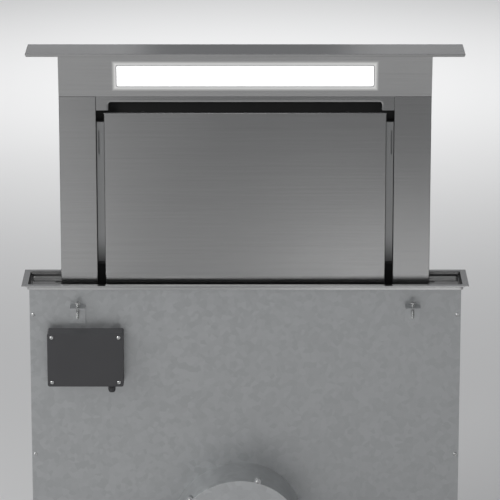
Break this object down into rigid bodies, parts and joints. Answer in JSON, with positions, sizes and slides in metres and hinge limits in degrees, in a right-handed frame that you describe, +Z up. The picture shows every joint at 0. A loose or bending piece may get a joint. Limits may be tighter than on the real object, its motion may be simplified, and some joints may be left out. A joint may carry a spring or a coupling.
{
  "type": "downdraft vent",
  "caption": "Worktop downdraft extractor: brushed steel tower with sloped light panel and edge-suction front that rises from a flush flange, over a casing with rack lift and blower.",
  "frame": {"origin": "centre of the worktop opening, on the worktop's top face, which the flange's gasket rests on", "axes": "+X to the right seen from the cook's side, +Y to the back, +Z up; the vent is stored raised, so every lift pose is at or below rest"},
  "size_m": [0.915, 0.277, 1.167],
  "materials": {
    "brushed_stainless": "fine horizontal brush",
    "zinc_sheet": "galvanised sheet",
    "bright_steel": "bright zinc",
    "filter_aluminium": "mill finish",
    "acetal": "moulded",
    "black_plastic": "moulded, fine grain",
    "black_sheet": "matt powder coat",
    "motor_black": "satin paint",
    "diffuser": "opal",
    "circuit_board": "white solder mask",
    "black_rubber": "matt"
  },
  "bodies": {
    "casing": {"worktop_flange": "brushed_stainless", "flange_gasket": "black_rubber", "cap_seal": "black_rubber", "recess_plates": "brushed_stainless", "casing_front": "zinc_sheet", "casing_back": "zinc_sheet", "casing_side_left": "zinc_sheet", "casing_side_right": "zinc_sheet", "casing_base": "zinc_sheet", "worktop_clamps": "zinc_sheet", "clamp_screws": "bright_steel", "support_feet": "zinc_sheet", "casing_screws": "bright_steel", "guide_rail_left": "zinc_sheet", "guide_rail_right": "zinc_sheet", "toothed_racks": "acetal", "rack_supports": "zinc_sheet", "limit_switches": "black_plastic", "electronics_box": "black_plastic", "electronics_cover": "black_plastic", "control_board": "circuit_board", "cable_gland": "black_plastic", "blower_housing": "zinc_sheet", "blower_cover": "zinc_sheet", "blower_motor": "motor_black", "outlet_collar": "black_plastic"},
    "tower": {"top_cap": "brushed_stainless", "light_panel": "brushed_stainless", "light_trim": "filter_aluminium", "light_diffuser": "diffuser", "light_box": "zinc_sheet", "led_board": "circuit_board", "led_driver": "black_plastic", "column_left": "brushed_stainless", "column_right": "brushed_stainless", "tower_back": "brushed_stainless", "intake_frame": "black_sheet", "filter_frame_left": "filter_aluminium", "filter_frame_right": "filter_aluminium", "filter_mesh_left": "filter_aluminium", "filter_mesh_right": "filter_aluminium", "latch_rivets": "bright_steel", "panel_clips": "black_plastic", "carriage_plate_left": "zinc_sheet", "carriage_plate_right": "zinc_sheet", "carriage_beam": "zinc_sheet", "guide_shoes": "acetal", "shaft_bearings": "acetal", "lift_gearmotor": "motor_black", "tower_screws": "bright_steel"},
    "front_panel": {"front_panel": "brushed_stainless", "panel_studs": "bright_steel"},
    "filter_latch_left": {"filter_latch_left": "bright_steel"},
    "filter_latch_right": {"filter_latch_right": "bright_steel"},
    "sync_shaft": {"sync_shaft": "bright_steel", "drive_pinions": "acetal"},
    "fan": {"impeller": "black_plastic", "motor_shaft": "bright_steel"},
    "damper_flap_front": {"damper_flap_front": "black_plastic"},
    "damper_flap_rear": {"damper_flap_rear": "black_plastic"}
  },
  "joints": [
    {"name": "lift", "type": "slide", "parent": "casing", "child": "tower", "axis": [0, 0, 1], "range_m": [-0.463, 0]},
    {"name": "shaft_turn", "type": "hinge", "parent": "tower", "child": "sync_shaft", "pos_m": [0, 0, -0.11], "axis": [1, 0, 0], "range_deg": [0, 1474.27]},
    {"name": "panel_pull", "type": "slide", "parent": "tower", "child": "front_panel", "axis": [0, -1, 0], "range_m": [0, 0.014]},
    {"name": "latch_left", "type": "slide", "parent": "tower", "child": "filter_latch_left", "axis": [0, 0, -1], "range_m": [0, 0.005], "stiffness_N_per_m": 400, "springref_m": -0.002},
    {"name": "latch_right", "type": "slide", "parent": "tower", "child": "filter_latch_right", "axis": [0, 0, -1], "range_m": [0, 0.005], "stiffness_N_per_m": 400, "springref_m": -0.002},
    {"name": "fan_spin", "type": "hinge", "parent": "casing", "child": "fan", "pos_m": [0, -0.154, -0.5], "axis": [0, -1, 0], "continuous": true},
    {"name": "flap_front", "type": "hinge", "parent": "casing", "child": "damper_flap_front", "pos_m": [0.24, -0.1267, -0.6176], "axis": [0, 0, 1], "range_deg": [0, 80], "stiffness_Nm_per_rad": 0.01, "springref_deg": -17.19},
    {"name": "flap_rear", "type": "hinge", "parent": "casing", "child": "damper_flap_rear", "pos_m": [0.24, -0.1223, -0.6176], "axis": [0, 0, -1], "range_deg": [0, 80], "stiffness_Nm_per_rad": 0.01, "springref_deg": -17.19}
  ],
  "couplings": [
    {"joint": "shaft_turn", "follows": "lift", "rad_per_m": -55.556}
  ]
}
